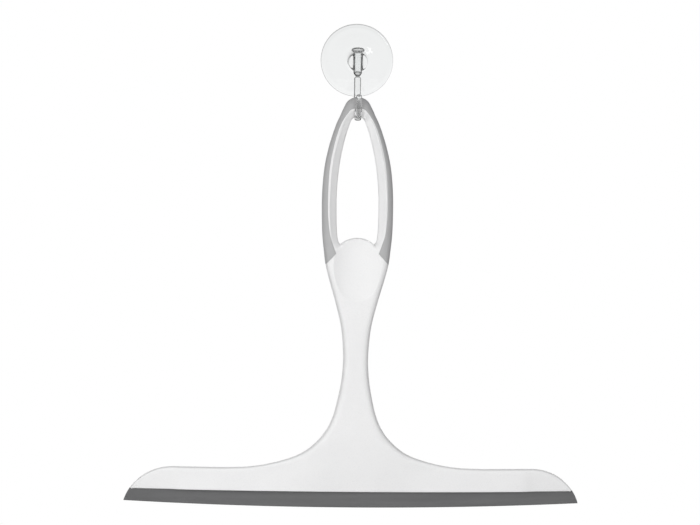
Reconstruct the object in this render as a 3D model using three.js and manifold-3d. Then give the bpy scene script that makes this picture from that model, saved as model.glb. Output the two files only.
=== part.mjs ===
// Window cleaning squeegee hanging on its suction-cup hook, in millimetres.
// X runs along the blade, +Z is up and the wall is the plane Y = 0, so the user stands at -Y.
// The origin is the middle of the suction cup's wall face.
import * as THREE from 'three';
import { mergeVertices } from 'three/addons/utils/BufferGeometryUtils.js';
import Module from 'manifold-3d';

const wasm = await Module();
wasm.setup();

const CLEARANCE = 0.3;

// Side and plan curves of the squeegee: it is bowed towards the user and its head's ends sweep back.
const BOW_APEX_Y = -32;
const BOW_APEX_Z = -130;
const BOW_RADIUS = 380;
const SWEEP_RADIUS = 870;

// Loop: matched points on its outer and inner outline, [outer x, outer z, inner x, inner z],
// from the top middle down the right leg. The left leg mirrors it.
const LOOP_POINTS = [
  [0, -20, 0, -30.7],
  [5.1, -22, 1.8, -31.1],
  [7.9, -26.6, 3.2, -32.2],
  [9.6, -30.4, 4, -33.7],
  [11.3, -34, 4.5, -35.2],
  [13.1, -38.9, 5.5, -38],
  [15.7, -47.5, 7.8, -46.4],
  [17.9, -58.2, 9.8, -57],
  [19, -71, 11.1, -70.6],
  [19.1, -84, 11.2, -84],
  [18.7, -94.5, 10.75, -94],
  [17.9, -102, 8.9, -98.9],
  [16.9, -109.7, 8, -105],
  [15.3, -116.2, 7, -111],
];
const LOOP_HALF_DEPTH_TOP = 3.9;
const LOOP_HALF_DEPTH = 4.4;
const EDGE_REACH = 4;
const EDGE_POWER = 0.8;

// The loop's legs are rounded further outwards and slope down to a thinner edge round the opening.
const LEG_REACH = 5.5;
const LEG_SLOPE_REACH = 4.4;
const LEG_EDGE_HALF_DEPTH = 0.6;
const LEG_EDGE_ROUND = 0.5;
const LEG_FROM_Z = -106;
const LEG_TO_Z = -92;

// Grip: how far it reaches in from the outer outline at each of the loop's points.
const GRIP_WIDTHS = [6.2, 5, 3.4, 2.5, 2.3, 2.4, 2.6, 2.8, 3, 3.15, 4, 5.45, 7.2, 7.4];
const GRIP_SKIN = 1.2;
const TONGUE_HALF_DEPTH = 2.2;
const GRIP_END_CORNER = [11.2, -103.6];
const GRIP_END_OUTER = [16.9, -109.7];

// Shoulder and neck: [z, half width] down the outline, and the round lobe that closes the loop's opening.
const NECK_POINTS = [
  [-101, 18.1],
  [-109.7, 16.9],
  [-116.1, 15.35],
  [-129, 11.6],
  [-142, 8.35],
  [-152, 7.1],
  [-161.6, 6.72],
  [-172, 7.45],
  [-181.3, 9.05],
  [-191.3, 11.5],
  [-197.9, 14.2],
];
const NECK_BOTTOM_Z = -203;
const NECK_BOTTOM_HALF_WIDTH = 9;
const NECK_HALF_DEPTH = 4.4;
const LOBE_RADIUS = 13.7;
const LOBE_CENTRE_Z = -109.15;
const LOBE_HALF_WIDTH = 10;

// Thumb dish in the shoulder's front.
const DISH_MIDDLE_Z = -111;
const DISH_HALF_WIDTH = 12.6;
const DISH_REACH_DOWN = 18.6;
const DISH_REACH_UP = 21;
const DISH_DEPTH = 2.3;
const DISH_CENTRE_AHEAD = 2.5;

// Head: top outline from the neck's fillet to the straight top, then a round end down to the mouth.
const FILLET_POINTS = [
  [14.2, -197.9],
  [18.7, -204.45],
  [25.8, -210.95],
  [31.8, -214.25],
  [43.7, -218.1],
  [56, -220.3],
  [70, -221.05],
];
const HEAD_TOP_Z = -221.05;
const MOUTH_Z = -233.6;
const END_RADIUS = 28.5;
const END_CENTRE_X = 97.2;
const END_LAST_ANGLE = 54;
const WING_TOP_HALF_DEPTH = 2.4;
const MOUTH_HALF_DEPTH = 3.9;
const WING_BLEND_FROM = 12;
const WING_BLEND_TO = 46;
const HEAD_EDGE_REACH = 1.9;

// Blade: a bead in the head's channel, a web through the mouth and a lip with a bowed wiping edge.
const BLADE_HALF_LENGTH = 125.5;
const BEAD_END_INSET = 1.3;
const BEAD_RADIUS = 1.6;
const BEAD_Z = -229.1;
const WEB_HALF_DEPTH = 1;
const LIP_HALF_DEPTH = 0.6;
const LIP_CHAMFER = 0.4;
const EDGE_Z = -242.9;
const EDGE_RISE = 2.1;
const BLADE_STATIONS = 26;

// Suction cup, nominal 40 mm: [radius, y] from the knob's front round to the hollow wall face.
// The soft knob sags a little under the load.
const KNOB_SAG = 1.2;
const SAG_FROM_Y = -4.7;
const SAG_TO_Y = -7;
const KNOB_RADIUS = 5.2;
const KNOB_FRONT_Y = -15.5;
const CUP_PROFILE = [
  [0, KNOB_FRONT_Y],
  [KNOB_RADIUS - 0.9, KNOB_FRONT_Y],
  [KNOB_RADIUS - 0.26, KNOB_FRONT_Y + 0.26],
  [KNOB_RADIUS, KNOB_FRONT_Y + 0.9],
  [KNOB_RADIUS, -6.2],
  [KNOB_RADIUS + 0.3, -5.6],
  [KNOB_RADIUS + 1.1, -5.2],
  [9, -4.7],
  [12.5, -3.7],
  [16, -2.3],
  [18.6, -1.15],
  [19.2, -1],
  [19.6, -0.65],
  [19.7, -0.35],
  [19.55, 0],
  [17.8, 0],
  [14, -1.4],
  [9, -2.7],
  [4, -3.3],
  [0, -3.4],
];
const CUP_SEGMENTS = 48;
const GATE_X = -16.2;
const GATE_Z = -1.1;
const GATE_RADIUS = 0.6;
const GATE_FRONT_Y = -2.8;

// Hook: a pin turned about an upright axis through the knob, [radius, z], and a rod bent under the loop.
const PIN_Y = -10.5;
const PIN_HOLE_RADIUS = 2.7;
const PIN_RADIUS = 2.4;
const PIN_HEAD_RADIUS = 3.55;
const PIN_HEAD_HALF_HEIGHT = 1.6;
const PIN_HEAD_Z = 5.3;
const PIN_TAIL_PROFILE = [
  [PIN_RADIUS, -5.9],
  [2.2, -7.2],
  [1.7, -8.3],
  [1.1, -8.9],
  [1.1, -9.2],
  [1.75, -9.5],
  [1.75, -11],
  [0, -11],
];
const STEM_RADIUS = 1.85;
const STEM_TOP_Z = -10;
const BEND_RADIUS = 8;
const BEND_CENTRE_Z = -23.95;
const ARM_LEAN = 25;
const ARM_LENGTH = 7;
const ROD_HALF_THICKNESS = 1;
const NECK_RADIUS = 1.1;
const TIP_RADIUS = 1.5;

const clearPvc = { color: 0xf2f5f6, roughness: 0.12, metalness: 0, transparent: true, opacity: 0.35 };
const clearHardPlastic = { color: 0xf4f6f7, roughness: 0.06, metalness: 0, transparent: true, opacity: 0.4 };
const whitePlastic = { color: 0xeff0f1, roughness: 0.35, metalness: 0 };
const greySoftPlastic = { color: 0x9a9b9d, roughness: 0.7, metalness: 0 };
const darkRubber = { color: 0x515254, roughness: 0.6, metalness: 0 };

// ---- helpers ----

const radians = THREE.MathUtils.degToRad;

function midDepth(x, z) {
  return BOW_APEX_Y + (z - BOW_APEX_Z) ** 2 / (2 * BOW_RADIUS) + x ** 2 / (2 * SWEEP_RADIUS);
}

// A point of the squeegee: x and z as seen from the front, behind is its distance from the middle surface.
function place(x, behind, z) {
  return new THREE.Vector3(x, midDepth(x, z) + behind, z);
}

// Signed power, for superelliptic rounding.
function rounded(value) {
  return Math.sign(value) * Math.abs(value) ** EDGE_POWER;
}

// Half depth at a distance in from an edge that is rounded over EDGE_REACH.
function depthNearEdge(distance, halfDepth, reach) {
  const share = Math.max(0, 1 - distance / reach);
  return halfDepth * (1 - share ** (2 / EDGE_POWER)) ** (EDGE_POWER / 2);
}

// Flat section with rounded ends, as [across, behind] points.
function stadium(halfWidth, halfDepth, edgeReach, steps = 6) {
  const reach = Math.min(edgeReach, halfWidth * 0.97);
  const outline = [];
  for (const side of [1, -1]) {
    for (let step = 0; step <= steps; step += 1) {
      const angle = Math.PI * (step / steps - 0.5);
      const across = side * (halfWidth - reach + reach * rounded(Math.max(0, Math.cos(angle))));
      outline.push(new THREE.Vector2(across, side * halfDepth * rounded(Math.sin(angle))));
    }
  }
  return outline;
}

function signedArea(a, b, c) {
  return (b.x - a.x) * (c.y - a.y) - (c.x - a.x) * (b.y - a.y);
}

// Triangles that close a ring, turned the same way as its outline or against it.
function capTriangles(outline, sameWay) {
  const wanted = Math.sign(THREE.ShapeUtils.area(outline)) * (sameWay ? 1 : -1);
  return THREE.ShapeUtils.triangulateShape(outline, []).map(([a, b, c]) => {
    const turn = Math.sign(signedArea(outline[a], outline[b], outline[c]));
    return turn === wanted ? [a, b, c] : [a, c, b];
  });
}

// Closed skin over a row of rings.
// A ring is { outline, points }: its flat outline and the same points in space.
function loft(rings) {
  const count = rings[0].points.length;
  const lastStart = (rings.length - 1) * count;
  const index = [];
  for (let row = 0; row < rings.length - 1; row += 1) {
    for (let column = 0; column < count; column += 1) {
      const a = row * count + column;
      const b = row * count + ((column + 1) % count);
      index.push(a, b, a + count, b, b + count, a + count);
    }
  }
  for (const corners of capTriangles(rings[0].outline, false)) {
    index.push(...corners);
  }
  for (const corners of capTriangles(rings[rings.length - 1].outline, true)) {
    index.push(...corners.map((corner) => corner + lastStart));
  }
  const geometry = new THREE.BufferGeometry();
  geometry.setAttribute('position', new THREE.BufferAttribute(
    new Float32Array(rings.flatMap((ring) => ring.points.flatMap((point) => point.toArray()))), 3));
  geometry.setIndex(index);
  return geometry;
}

function volumeOf(positions, index) {
  const corners = [new THREE.Vector3(), new THREE.Vector3(), new THREE.Vector3()];
  let sum = 0;
  for (let start = 0; start < index.length; start += 3) {
    corners.forEach((corner, place3) => corner.fromArray(positions, 3 * index[start + place3]));
    sum += corners[0].dot(corners[1].clone().cross(corners[2])) / 6;
  }
  return sum;
}

// A three.js geometry as a solid that can be joined and cut.
function solid(geometry) {
  const bare = geometry.clone();
  bare.deleteAttribute('normal');
  bare.deleteAttribute('uv');
  const merged = mergeVertices(bare, 1e-4);
  const positions = new Float32Array(merged.attributes.position.array);
  const index = [];
  for (let start = 0; start < merged.index.count; start += 3) {
    const [a, b, c] = [0, 1, 2].map((offset) => merged.index.getX(start + offset));
    if (a !== b && b !== c && c !== a) {
      index.push(a, b, c);
    }
  }
  if (volumeOf(positions, index) < 0) {
    index.reverse();
  }
  const mesh = new wasm.Mesh({ numProp: 3, vertProperties: positions, triVerts: new Uint32Array(index) });
  return new wasm.Manifold(mesh);
}

function geometryOf(manifold) {
  const { vertProperties, triVerts } = manifold.getMesh();
  const geometry = new THREE.BufferGeometry();
  geometry.setAttribute('position', new THREE.BufferAttribute(new Float32Array(vertProperties), 3));
  geometry.setIndex(new THREE.BufferAttribute(new Uint32Array(triVerts), 1));
  geometry.computeVertexNormals();
  return geometry;
}

function part(name, geometry, look) {
  const mesh = new THREE.Mesh(geometry, new THREE.MeshStandardMaterial(look));
  mesh.name = name;
  return mesh;
}

// Left and right halves of a list of points whose first point lies on the middle line.
function mirrored(points) {
  const left = points.slice(1).reverse().map((point) => new THREE.Vector3(-point.x, point.y, point.z));
  return [...left, ...points];
}

// ---- loop and grip ----

const loopOuter = new THREE.CatmullRomCurve3(
  mirrored(LOOP_POINTS.map(([x, z]) => new THREE.Vector3(x, 0, z))), false, 'centripetal');
const loopInner = new THREE.CatmullRomCurve3(
  mirrored(LOOP_POINTS.map(([, , x, z]) => new THREE.Vector3(x, 0, z))), false, 'centripetal');
const gripWidths = new THREE.CatmullRomCurve3(
  mirrored(GRIP_WIDTHS.map((width, slot) => new THREE.Vector3(slot, width, 0))), false, 'catmullrom', 0.5);
const LOOP_STEPS = 60;

// Everything about the loop at a share of the way from its left foot to its right foot.
function loopStation(share) {
  const outer = loopOuter.getPoint(share);
  const inner = loopInner.getPoint(share);
  const slot = Math.abs(share - 0.5) * 2 * (LOOP_POINTS.length - 1);
  const topShare = THREE.MathUtils.smoothstep(slot, 2, 6);
  return {
    middle: outer.clone().add(inner).multiplyScalar(0.5),
    outward: outer.clone().sub(inner).normalize(),
    halfWidth: outer.distanceTo(inner) / 2,
    halfDepth: THREE.MathUtils.lerp(LOOP_HALF_DEPTH_TOP, LOOP_HALF_DEPTH, topShare),
    gripWidth: gripWidths.getPoint(share).y,
  };
}

// Half depth of a leg at its distances from the outer and inner outlines.
function legHalfDepth(fromOuter, fromInner, halfDepth, z) {
  const legShare = THREE.MathUtils.smoothstep(z, LEG_FROM_Z, LEG_TO_Z);
  const round = Math.sqrt(1 - Math.max(0, 1 - fromOuter / LEG_REACH) ** 2);
  const slopeShare = fromInner / LEG_SLOPE_REACH;
  const slope = Math.min(1, THREE.MathUtils.lerp(LEG_EDGE_HALF_DEPTH / halfDepth, 1, slopeShare));
  const rim = Math.sqrt(1 - Math.max(0, 1 - fromInner / LEG_EDGE_ROUND) ** 2);
  const leg = halfDepth * Math.min(round, slope * rim);
  const shoulder = Math.min(depthNearEdge(fromOuter, halfDepth, EDGE_REACH),
    depthNearEdge(fromInner, halfDepth, EDGE_REACH));
  return THREE.MathUtils.lerp(shoulder, leg, legShare);
}

// The core's closed section, as [across, behind] points.
function legSection({ middle, outward, halfWidth, halfDepth }) {
  const shares = [0.004, 0.03, 0.09, 0.18, 0.29, 0.42, 0.5, 0.64, 0.78, 0.9, 0.95, 0.985, 0.998];
  const behindAt = (share) => {
    const across = halfWidth * (1 - 2 * share);
    const z = middle.z + outward.z * across;
    return legHalfDepth(2 * halfWidth * share, 2 * halfWidth * (1 - share), halfDepth, z);
  };
  const back = shares.map((share) => new THREE.Vector2(halfWidth * (1 - 2 * share), behindAt(share)));
  const front = [...back].reverse().map(({ x, y }) => new THREE.Vector2(x, -y));
  return [new THREE.Vector2(halfWidth, 0), ...back, new THREE.Vector2(-halfWidth, 0), ...front];
}

function loopLoft(sectionOf) {
  const rings = [];
  for (let step = 0; step <= LOOP_STEPS; step += 1) {
    const station = loopStation(step / LOOP_STEPS);
    const outline = sectionOf(station);
    const points = outline.map(({ x: across, y: behind }) => {
      const front = station.middle.clone().addScaledVector(station.outward, across);
      return place(front.x, behind, front.z);
    });
    rings.push({ outline, points });
  }
  return loft(rings);
}

// The grip's C-shaped section around the core's tongue.
function gripSection({ middle, outward, halfWidth, halfDepth, gripWidth }) {
  const tongueTip = halfWidth - GRIP_SKIN;
  const root = halfWidth - gripWidth;
  const skin = [];
  const steps = 6;
  for (let step = -steps; step <= steps; step += 1) {
    const distance = gripWidth * (1 - Math.cos((Math.PI / 2) * (step / steps)));
    const z = middle.z + outward.z * (halfWidth - distance);
    const behind = Math.sign(step) * legHalfDepth(distance, 2 * halfWidth - distance, halfDepth, z);
    skin.push(new THREE.Vector2(halfWidth - distance, behind));
  }
  return [
    ...skin,
    new THREE.Vector2(root, TONGUE_HALF_DEPTH),
    new THREE.Vector2(tongueTip, TONGUE_HALF_DEPTH),
    new THREE.Vector2(tongueTip, -TONGUE_HALF_DEPTH),
    new THREE.Vector2(root, -TONGUE_HALF_DEPTH),
  ];
}

// The space cut out of the body for the grip, larger than the grip by the clearance.
function gripSpaceSection({ halfWidth, halfDepth, gripWidth }) {
  const out = halfWidth + 1;
  const deep = halfDepth + 1;
  const root = halfWidth - gripWidth - CLEARANCE;
  const tongueTip = halfWidth - GRIP_SKIN - CLEARANCE;
  const tongue = TONGUE_HALF_DEPTH - CLEARANCE;
  return [[root, -deep], [out, -deep], [out, deep], [root, deep], [root, tongue], [tongueTip, tongue],
    [tongueTip, -tongue], [root, -tongue]].map(([across, behind]) => new THREE.Vector2(across, behind));
}

// Everything beyond the grip's slanted ends, moved down the legs by an extra distance.
function beyondGripEnds(extra) {
  const [cornerX, cornerZ] = GRIP_END_CORNER;
  const along = new THREE.Vector2(GRIP_END_OUTER[0] - cornerX, GRIP_END_OUTER[1] - cornerZ).normalize();
  const away = new THREE.Vector2(along.y, -along.x);
  const length = 24;
  const block = new THREE.BoxGeometry(length, 60, length);
  block.rotateY(-Math.atan2(along.y, along.x));
  const forward = length / 2 - 3;
  const down = length / 2 + extra;
  block.translate(
    cornerX + along.x * forward + away.x * down, BOW_APEX_Y, cornerZ + along.y * forward + away.y * down);
  const right = solid(block);
  block.scale(-1, 1, 1);
  return right.add(solid(block));
}

function makeGrip() {
  const sleeve = solid(loopLoft(gripSection));
  return part('grip', geometryOf(sleeve.subtract(beyondGripEnds(0))), greySoftPlastic);
}

// ---- body ----

function makeNeckLoft() {
  const outline = new THREE.CatmullRomCurve3(
    NECK_POINTS.map(([z, halfWidth]) => new THREE.Vector3(halfWidth, 0, z)), false, 'centripetal');
  const levels = outline.getPoints(26);
  levels.push(new THREE.Vector3(NECK_BOTTOM_HALF_WIDTH, 0, NECK_BOTTOM_Z));
  return loft(levels.map(({ x: halfWidth, z }) => {
    const section = stadium(halfWidth, NECK_HALF_DEPTH, EDGE_REACH, 8);
    return { outline: section, points: section.map(({ x, y }) => place(x, y, z)) };
  }));
}

// Upright slice of a plate between two heights, rounded along its top, as [behind, z] points.
function plateSlice(bottomZ, topZ, halfDepthAt, edgeReach) {
  const reach = Math.min(edgeReach, (topZ - bottomZ) * 0.45);
  const rimZ = topZ - reach;
  const outline = [];
  for (const share of [0, 0.4, 0.75]) {
    const z = THREE.MathUtils.lerp(bottomZ, rimZ, share);
    outline.push(new THREE.Vector2(halfDepthAt(z), z));
  }
  const steps = 8;
  for (let step = 0; step <= steps; step += 1) {
    const angle = Math.PI * (step / steps);
    const behind = halfDepthAt(rimZ) * rounded(Math.cos(angle));
    outline.push(new THREE.Vector2(behind, rimZ + reach * rounded(Math.max(0, Math.sin(angle)))));
  }
  for (const share of [0.75, 0.4, 0]) {
    const z = THREE.MathUtils.lerp(bottomZ, rimZ, share);
    outline.push(new THREE.Vector2(-halfDepthAt(z), z));
  }
  return outline;
}

function plateLoft(tops, bottomZ, halfDepthOf, edgeReach) {
  return loft(tops.map(({ x, z: topZ }) => {
    const outline = plateSlice(bottomZ, topZ, (z) => halfDepthOf(x, z), edgeReach);
    return { outline, points: outline.map(({ x: behind, y: z }) => place(x, behind, z)) };
  }));
}

function makeLobeLoft() {
  const tops = [];
  const steps = 12;
  for (let step = -steps; step <= steps; step += 1) {
    const x = LOBE_HALF_WIDTH * (step / steps);
    tops.push(new THREE.Vector3(x, 0, LOBE_CENTRE_Z + Math.sqrt(LOBE_RADIUS ** 2 - x ** 2)));
  }
  return plateLoft(tops, LOBE_CENTRE_Z, () => NECK_HALF_DEPTH, EDGE_REACH / 2);
}

// The head is as deep as the neck in the middle; its wings thin out towards their top edge.
function headHalfDepth(x, z) {
  const rise = THREE.MathUtils.clamp((z - MOUTH_Z) / (HEAD_TOP_Z - MOUTH_Z), 0, 1);
  const wing = THREE.MathUtils.lerp(MOUTH_HALF_DEPTH, WING_TOP_HALF_DEPTH, rise);
  const middle = THREE.MathUtils.lerp(MOUTH_HALF_DEPTH, NECK_HALF_DEPTH, rise);
  const blend = THREE.MathUtils.smoothstep(Math.abs(x), WING_BLEND_FROM, WING_BLEND_TO);
  return THREE.MathUtils.lerp(middle, wing, blend);
}

// Right half of the head's top outline, from the middle line to the end.
function headTopPoints() {
  const fillet = new THREE.CatmullRomCurve3(
    FILLET_POINTS.map(([x, z]) => new THREE.Vector3(x, 0, z)), false, 'centripetal').getPoints(16);
  const middle = [0, 5, 10].map((x) => new THREE.Vector3(x, 0, FILLET_POINTS[0][1]));
  const straight = [78, 86, 92].map((x) => new THREE.Vector3(x, 0, HEAD_TOP_Z));
  const end = [];
  const steps = 12;
  for (let step = 0; step <= steps; step += 1) {
    const angle = radians(END_LAST_ANGLE) * (step / steps);
    end.push(new THREE.Vector3(END_CENTRE_X + END_RADIUS * Math.sin(angle), 0,
      HEAD_TOP_Z - END_RADIUS * (1 - Math.cos(angle))));
  }
  return [...middle, ...fillet, ...straight, ...end];
}

// Stations along the blade's channel, for the blade and the space cut for it.
function bladeLoft(sectionAt) {
  const rings = [];
  for (let step = -BLADE_STATIONS / 2; step <= BLADE_STATIONS / 2; step += 1) {
    const x = (BLADE_HALF_LENGTH * 2 * step) / BLADE_STATIONS;
    const outline = sectionAt(x);
    rings.push({ outline, points: outline.map(({ x: behind, y: z }) => place(x, behind, z)) });
  }
  return loft(rings);
}

// A round bead over a straight web, as [behind, z] points down to bottomZ.
function beadSection(beadRadius, webHalfDepth, bottomPoints) {
  const outline = [];
  const steps = 10;
  const opening = Math.asin(webHalfDepth / beadRadius);
  for (let step = 0; step <= steps; step += 1) {
    const angle = opening + (2 * Math.PI - 2 * opening) * (step / steps);
    outline.push(new THREE.Vector2(-beadRadius * Math.sin(angle), BEAD_Z - beadRadius * Math.cos(angle)));
  }
  return [...outline, ...bottomPoints.map(([behind, z]) => new THREE.Vector2(behind, z))];
}

function channelSection() {
  const half = WEB_HALF_DEPTH + CLEARANCE;
  return beadSection(BEAD_RADIUS + CLEARANCE, half, [[half, MOUTH_Z - 2], [-half, MOUTH_Z - 2]]);
}

function bladeSection(x) {
  const edgeZ = EDGE_Z + EDGE_RISE * (x / BLADE_HALF_LENGTH) ** 2;
  const shoulderZ = MOUTH_Z - 0.6;
  return beadSection(BEAD_RADIUS, WEB_HALF_DEPTH, [
    [WEB_HALF_DEPTH, shoulderZ],
    [LIP_HALF_DEPTH, edgeZ + LIP_CHAMFER],
    [LIP_HALF_DEPTH - LIP_CHAMFER, edgeZ],
    [-LIP_HALF_DEPTH + LIP_CHAMFER, edgeZ],
    [-LIP_HALF_DEPTH, edgeZ + LIP_CHAMFER],
    [-WEB_HALF_DEPTH, shoulderZ],
  ]);
}

// Everything inside the blade's front outline.
// Its lip carries on the head's round ends, and its bead ends inside them.
function makeBladeOutlineBlock() {
  const centreZ = HEAD_TOP_Z - END_RADIUS;
  const mouthAngle = Math.asin((MOUTH_Z - centreZ) / END_RADIUS);
  const outline = new THREE.Shape();
  outline.moveTo(-END_CENTRE_X - END_RADIUS, centreZ);
  outline.lineTo(END_CENTRE_X + END_RADIUS, centreZ);
  outline.absarc(END_CENTRE_X, centreZ, END_RADIUS, 0, mouthAngle);
  outline.absarc(END_CENTRE_X, centreZ, END_RADIUS - BEAD_END_INSET, mouthAngle, Math.PI / 2);
  outline.absarc(-END_CENTRE_X, centreZ, END_RADIUS - BEAD_END_INSET, Math.PI / 2, Math.PI - mouthAngle);
  outline.absarc(-END_CENTRE_X, centreZ, END_RADIUS, Math.PI - mouthAngle, Math.PI);
  const block = new THREE.ExtrudeGeometry(outline, { depth: 60, bevelEnabled: false, curveSegments: 12 });
  block.rotateX(Math.PI / 2);
  block.translate(0, 20, 0);
  return block;
}

// Shallow hollow for the thumb, sunk from the shoulder's front and running out over its top edge.
function makeDishCutter() {
  const ratio = DISH_CENTRE_AHEAD / (DISH_CENTRE_AHEAD + DISH_DEPTH);
  const spread = 1 / Math.sqrt(1 - ratio ** 2);
  const ball = new THREE.SphereGeometry(1, 32, 18);
  ball.rotateX(Math.PI / 2);
  const position = ball.attributes.position;
  for (let i = 0; i < position.count; i += 1) {
    const x = position.getX(i) * DISH_HALF_WIDTH * spread;
    const behind = -NECK_HALF_DEPTH - DISH_CENTRE_AHEAD + position.getY(i) * (DISH_CENTRE_AHEAD + DISH_DEPTH);
    const reach = position.getZ(i) > 0 ? DISH_REACH_UP : DISH_REACH_DOWN;
    const z = DISH_MIDDLE_Z + position.getZ(i) * reach * spread;
    position.setXYZ(i, ...place(x, behind, z).toArray());
  }
  return ball;
}

function makeBody() {
  const loopCore = loopLoft(legSection);
  const head = plateLoft(mirrored(headTopPoints()), MOUTH_Z, headHalfDepth, HEAD_EDGE_REACH);
  const gripSpace = solid(loopLoft(gripSpaceSection)).subtract(beyondGripEnds(CLEARANCE));
  const body = solid(loopCore)
    .add(solid(makeNeckLoft()))
    .add(solid(makeLobeLoft()))
    .add(solid(head))
    .subtract(solid(makeDishCutter()))
    .subtract(gripSpace)
    .subtract(solid(bladeLoft(channelSection)));
  return part('squeegee_body', geometryOf(body), whitePlastic);
}

function makeBlade() {
  const blade = solid(bladeLoft(bladeSection)).intersect(solid(makeBladeOutlineBlock()));
  return part('blade', geometryOf(blade), darkRubber);
}

// ---- suction cup and hook ----

function lathe(profile, segments) {
  return new THREE.LatheGeometry(profile.map(([radius, height]) => new THREE.Vector2(radius, height)), segments);
}

function makeSuctionCup() {
  const cup = lathe(CUP_PROFILE, CUP_SEGMENTS);
  const position = cup.attributes.position;
  for (let i = 0; i < position.count; i += 1) {
    const sag = KNOB_SAG * THREE.MathUtils.smoothstep(-position.getY(i), -SAG_FROM_Y, -SAG_TO_Y);
    position.setZ(i, position.getZ(i) - sag);
  }
  const hole = new THREE.CylinderGeometry(PIN_HOLE_RADIUS, PIN_HOLE_RADIUS, 2 * KNOB_RADIUS + 4, 32);
  hole.rotateX(Math.PI / 2);
  hole.translate(0, PIN_Y, -KNOB_SAG);
  const gate = new THREE.CylinderGeometry(GATE_RADIUS, GATE_RADIUS, 1, 12);
  gate.translate(GATE_X, GATE_FRONT_Y + 0.5, GATE_Z);
  return part('suction_cup', geometryOf(solid(cup).subtract(solid(hole)).add(solid(gate))), clearPvc);
}

// Rod's middle line in the plane x = 0, with its half width and half thickness at each point.
function rodStations() {
  const stations = [];
  const bendY = PIN_Y - BEND_RADIUS;
  for (const z of [STEM_TOP_Z, -15.5, -21]) {
    stations.push({ y: PIN_Y, z, angle: 0, width: STEM_RADIUS, thickness: STEM_RADIUS });
  }
  const bendSteps = 14;
  for (let step = 0; step <= bendSteps; step += 1) {
    const angle = radians(180 - ARM_LEAN) * (step / bendSteps);
    const thickness = THREE.MathUtils.lerp(STEM_RADIUS, ROD_HALF_THICKNESS, Math.min(1, (2 * step) / bendSteps));
    stations.push({
      y: bendY + BEND_RADIUS * Math.cos(angle),
      z: BEND_CENTRE_Z - BEND_RADIUS * Math.sin(angle),
      angle, width: STEM_RADIUS, thickness,
    });
  }
  const bendEnd = stations[stations.length - 1];
  const lean = radians(ARM_LEAN);
  for (const share of [0.3, 0.6, 0.8, 1]) {
    stations.push({
      y: bendEnd.y - ARM_LENGTH * share * Math.sin(lean),
      z: bendEnd.z + ARM_LENGTH * share * Math.cos(lean),
      angle: bendEnd.angle,
      width: THREE.MathUtils.lerp(STEM_RADIUS, NECK_RADIUS, share ** 3),
      thickness: THREE.MathUtils.lerp(ROD_HALF_THICKNESS, NECK_RADIUS, share),
    });
  }
  const ballMiddle = ARM_LENGTH + TIP_RADIUS * 0.7;
  for (const turn of [-30, -12, 6, 24, 42, 60, 75, 86].map(radians)) {
    const along = ballMiddle + TIP_RADIUS * Math.sin(turn);
    stations.push({
      y: bendEnd.y - along * Math.sin(lean),
      z: bendEnd.z + along * Math.cos(lean),
      angle: bendEnd.angle,
      width: TIP_RADIUS * Math.cos(turn),
      thickness: TIP_RADIUS * Math.cos(turn),
    });
  }
  return stations;
}

function makeRod() {
  const sides = 16;
  return loft(rodStations().map(({ y, z, angle, width, thickness }) => {
    const outline = [];
    const points = [];
    for (let side = 0; side < sides; side += 1) {
      const turn = (2 * Math.PI * side) / sides;
      const across = width * Math.cos(turn);
      const out = thickness * Math.sin(turn);
      outline.push(new THREE.Vector2(across, out));
      points.push(new THREE.Vector3(across, y + out * Math.cos(angle), z - out * Math.sin(angle)));
    }
    return { outline, points };
  }));
}

// Outline of the pin from its lens-shaped head to its rounded tail, as [radius, z] points.
function pinProfile() {
  const head = [];
  const steps = 10;
  const last = Math.PI - Math.asin(PIN_RADIUS / PIN_HEAD_RADIUS);
  for (let step = 0; step <= steps; step += 1) {
    const angle = last * (step / steps);
    head.push([PIN_HEAD_RADIUS * Math.sin(angle), PIN_HEAD_Z + PIN_HEAD_HALF_HEIGHT * Math.cos(angle)]);
  }
  return [...head, ...PIN_TAIL_PROFILE];
}

function makeHook() {
  const pin = lathe(pinProfile(), 32);
  pin.rotateX(Math.PI / 2);
  pin.translate(0, PIN_Y, 0);
  return part('hook', geometryOf(solid(pin).add(solid(makeRod()))), clearHardPlastic);
}

const squeegee = new THREE.Group();
squeegee.add(makeSuctionCup(), makeHook(), makeBody(), makeGrip(), makeBlade());

export default squeegee;
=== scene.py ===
"""Looks, light and camera for the window cleaning squeegee on its clear suction-cup hook.

Lengths named here are millimetres in the CAD frame; meshes are scaled to metres when they are made.
"""
import math

import bpy
import numpy as np
from mathutils import Matrix, Vector
from mathutils.geometry import delaunay_2d_cdt


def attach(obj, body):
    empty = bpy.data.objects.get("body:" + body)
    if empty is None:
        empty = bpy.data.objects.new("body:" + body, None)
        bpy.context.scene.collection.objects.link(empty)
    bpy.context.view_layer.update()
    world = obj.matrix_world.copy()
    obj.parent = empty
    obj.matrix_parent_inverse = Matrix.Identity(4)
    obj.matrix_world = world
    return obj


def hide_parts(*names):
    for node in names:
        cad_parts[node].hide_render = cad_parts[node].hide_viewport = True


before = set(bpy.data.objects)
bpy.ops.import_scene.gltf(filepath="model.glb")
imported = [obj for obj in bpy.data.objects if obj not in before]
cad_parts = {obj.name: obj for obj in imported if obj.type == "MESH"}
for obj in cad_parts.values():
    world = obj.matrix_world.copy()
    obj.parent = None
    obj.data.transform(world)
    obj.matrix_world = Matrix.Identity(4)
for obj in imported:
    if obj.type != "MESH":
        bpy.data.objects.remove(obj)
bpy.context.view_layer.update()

MM = 0.001

# ----------------------------------------------------------------------------------------------------
# Dimensions: the CAD part's own, and those of the finer shapes that only the looks have
# ----------------------------------------------------------------------------------------------------

# The squeegee's middle surface is bowed along its height and swept back along its width.
BOW_APEX_Y = -32.0
BOW_APEX_Z = -130.0
BOW_RADIUS = 380.0
SWEEP_RADIUS = 870.0

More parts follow.
